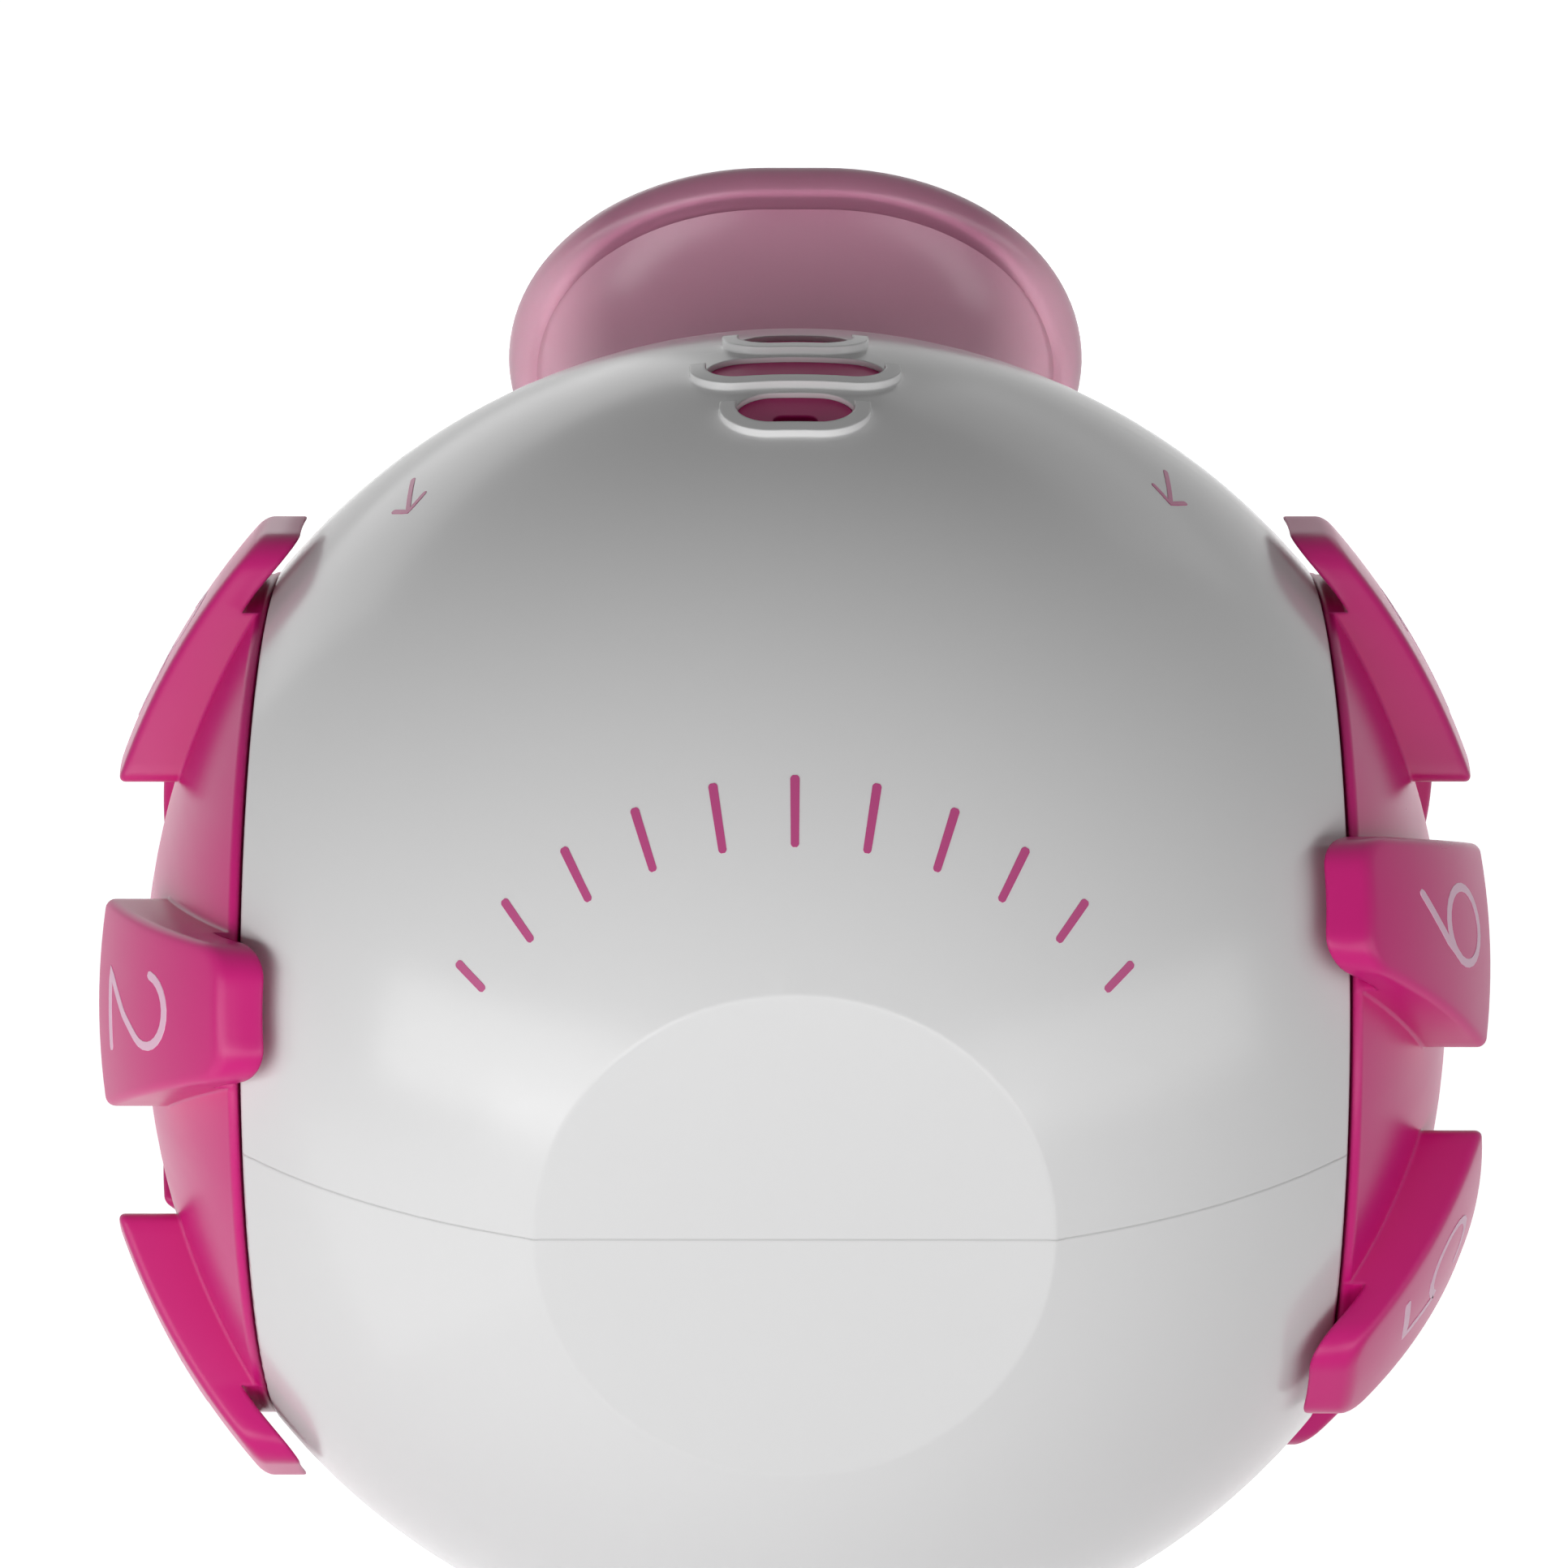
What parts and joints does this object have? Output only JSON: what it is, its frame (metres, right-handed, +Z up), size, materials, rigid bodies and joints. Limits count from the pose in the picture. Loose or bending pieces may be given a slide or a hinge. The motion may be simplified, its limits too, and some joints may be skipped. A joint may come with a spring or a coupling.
{
  "type": "breathing trainer",
  "caption": "Palm-sized ball-shaped breathing trainer with a lugged resistance dial on each side, slotted air vents on top, a front flat and a flared mouthpiece at the upper rear.",
  "frame": {"origin": "centre of the round front flat", "axes": "+X out of the in-breath dial, -Y out of the front flat, +Z up to the air vents; the mouthpiece leaves at the upper rear, in the YZ plane"},
  "size_m": [0.0762, 0.0883, 0.0794],
  "materials": {
    "white_shell": "satin gloss moulded",
    "white_trim": "satin gloss moulded",
    "magenta_plastic": "satin gloss moulded",
    "pink_core": "gloss moulded",
    "frosted_pink": "frosted translucent",
    "grey_plastic": "satin moulded",
    "clear_plastic": "clear-toned gloss moulded",
    "silicone": "soft matte silicone",
    "grey_seal": "soft matte silicone",
    "steel": "plain bright"
  },
  "bodies": {
    "housing": {"upper_shell": "white_shell", "lower_shell": "white_shell", "vent_insert": "magenta_plastic", "airway_core": "pink_core", "mouth_collar": "white_trim", "exhale_port_plate": "pink_core", "exhale_port_seal": "grey_seal", "exhale_valve_seat": "clear_plastic", "exhale_valve_cage": "clear_plastic", "exhale_click_spring": "steel", "inhale_port_plate": "pink_core", "inhale_port_seal": "grey_seal", "inhale_valve_seat": "clear_plastic", "inhale_valve_cage": "clear_plastic", "inhale_click_spring": "steel"},
    "exhale_control": {"exhale_dial": "magenta_plastic", "exhale_selector": "grey_plastic", "exhale_dial_screw": "steel"},
    "inhale_control": {"inhale_dial": "magenta_plastic", "inhale_selector": "grey_plastic", "inhale_dial_screw": "steel"},
    "exhale_flap": {"exhale_valve_disc": "silicone"},
    "inhale_flap": {"inhale_valve_disc": "silicone"},
    "mouth_unit": {"mouthpiece": "frosted_pink", "mouthpiece_ring": "grey_seal"}
  },
  "joints": [
    {"name": "exhale_dial_turn", "type": "hinge", "parent": "housing", "child": "exhale_control", "pos_m": [-0.0291, 0.03566, 0], "axis": [-1, 0, 0], "continuous": true},
    {"name": "inhale_dial_turn", "type": "hinge", "parent": "housing", "child": "inhale_control", "pos_m": [0.0291, 0.03566, 0], "axis": [1, 0, 0], "continuous": true},
    {"name": "exhale_valve_lift", "type": "slide", "parent": "housing", "child": "exhale_flap", "axis": [-1, 0, 0], "range_m": [0, 0.0015]},
    {"name": "inhale_valve_lift", "type": "slide", "parent": "housing", "child": "inhale_flap", "axis": [-1, 0, 0], "range_m": [0, 0.0015]},
    {"name": "mouthpiece_pull", "type": "slide", "parent": "housing", "child": "mouth_unit", "axis": [0, 0.848, 0.5299], "range_m": [0, 0.011]}
  ]
}
